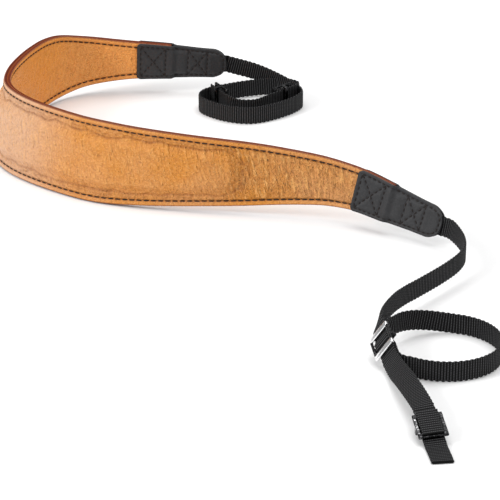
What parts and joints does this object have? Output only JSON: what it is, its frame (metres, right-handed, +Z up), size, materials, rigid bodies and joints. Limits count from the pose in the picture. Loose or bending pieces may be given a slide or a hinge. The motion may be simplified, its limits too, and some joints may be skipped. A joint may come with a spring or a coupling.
{
  "type": "camera strap",
  "caption": "Tan leather neck strap with a tapering padded middle, black end tabs and ribbed black webbing with metal sliders, standing on its edge in an open curve.",
  "frame": {"origin": "the middle of the bounding box's plan, at the surface the strap stands on", "axes": "+Z up; +X to the right and +Y away from the viewer of the picture, so the curve of the pad opens toward +X"},
  "size_m": [0.262, 0.4818, 0.0447],
  "materials": {
    "outer_leather": "semi-matte, waxed tan",
    "pad_filling": "matte, only its edge shows",
    "lining_leather": "matte tan",
    "back_tab_outer_leaf": "matte black",
    "back_tab_inner_leaf": "matte black",
    "front_tab_outer_leaf": "matte black",
    "front_tab_inner_leaf": "matte black",
    "back_webbing": "ribbed weave, matte",
    "front_webbing": "ribbed weave, matte",
    "lug_loop": "ribbed weave, matte",
    "front_slider": "polished",
    "tail_slider": "polished",
    "back_slider": "polished",
    "back_end_slider": "polished"
  },
  "bodies": {
    "root": {"outer_leather": "outer_leather", "pad_filling": "pad_filling", "lining_leather": "lining_leather", "back_tab_outer_leaf": "back_tab_outer_leaf", "back_tab_inner_leaf": "back_tab_inner_leaf", "front_tab_outer_leaf": "front_tab_outer_leaf", "front_tab_inner_leaf": "front_tab_inner_leaf", "back_webbing": "back_webbing", "front_webbing": "front_webbing", "lug_loop": "lug_loop", "front_slider": "front_slider", "tail_slider": "tail_slider", "back_slider": "back_slider", "back_end_slider": "back_end_slider"}
  },
  "joints": []
}
